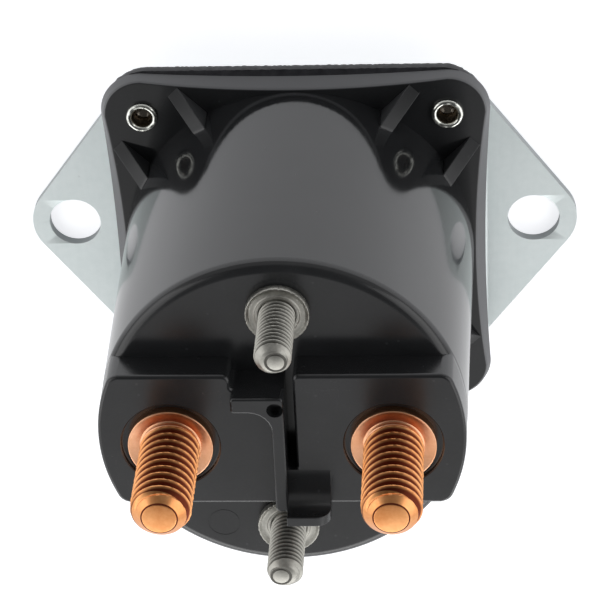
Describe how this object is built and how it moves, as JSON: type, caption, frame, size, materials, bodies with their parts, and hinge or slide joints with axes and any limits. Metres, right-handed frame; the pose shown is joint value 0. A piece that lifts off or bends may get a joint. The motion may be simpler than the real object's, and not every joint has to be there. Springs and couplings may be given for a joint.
{
  "type": "starter relay",
  "caption": "Round moulded plunger relay with threaded power and control studs on a two-eared mounting plate.",
  "frame": {"origin": "centre of the body's axis on the surface that the two ears stand on", "axes": "+Z from the mounting plate to the terminals, X along the two ear holes"},
  "size_m": [0.0814, 0.0568, 0.0724],
  "materials": {
    "black_plastic": "black moulded phenolic, smooth and slightly glossy",
    "zinc_steel": "bright zinc plate with a cold bluish tone",
    "gasket_fibre": "black die-cut gasket sheet with rough edges",
    "rivet_steel": "bright plated steel",
    "copper": "bare rolled copper, slightly dulled",
    "stud_steel": "grey plated steel",
    "core_steel": "soft magnetic steel, thinly plated",
    "brass": "drawn brass",
    "pale_plastic": "natural moulded nylon",
    "winding_wire": "enamelled copper wire",
    "tape": "thin polyester tape",
    "lead_sleeve": "soft sleeve over a coil lead",
    "cushion_rubber": "soft black rubber",
    "spring_steel": "bright spring wire",
    "insulator_fibre": "pressed insulating fibre"
  },
  "bodies": {
    "relay_base": {"mounting_plate": "zinc_steel", "gasket": "gasket_fibre", "housing": "black_plastic", "rivets": "rivet_steel", "power_stud_left": "copper", "power_stud_right": "copper", "control_stud_front": "stud_steel", "control_stud_rear": "stud_steel", "control_washers": "stud_steel", "yoke_frame": "core_steel", "pole_plate": "core_steel", "pole_core": "core_steel", "guide_tube": "brass", "bobbin": "pale_plastic", "coil_winding": "winding_wire", "coil_tape": "tape", "coil_lead_front": "lead_sleeve", "coil_lead_rear": "lead_sleeve", "cushion_disc": "cushion_rubber", "return_spring": "spring_steel"},
    "plunger_group": {"plunger": "core_steel", "plunger_rod": "rivet_steel", "spring_seat": "brass", "contact_spring": "spring_steel", "retaining_clip": "spring_steel"},
    "contact_group": {"contact_disc": "copper", "insulator_lower": "insulator_fibre", "insulator_upper": "insulator_fibre"}
  },
  "joints": [
    {"name": "plunger_slide", "type": "slide", "parent": "relay_base", "child": "plunger_group", "axis": [0, 0, 1], "range_m": [0, 0.0032], "stiffness_N_per_m": 500, "springref_m": -0.002, "deforming": ["return_spring", "contact_spring"]},
    {"name": "contact_slide", "type": "slide", "parent": "relay_base", "child": "contact_group", "axis": [0, 0, 1], "range_m": [0, 0.0021]}
  ],
  "couplings": [
    {"joint": "contact_slide", "follows": "plunger_slide", "ratio": 0.65625}
  ]
}
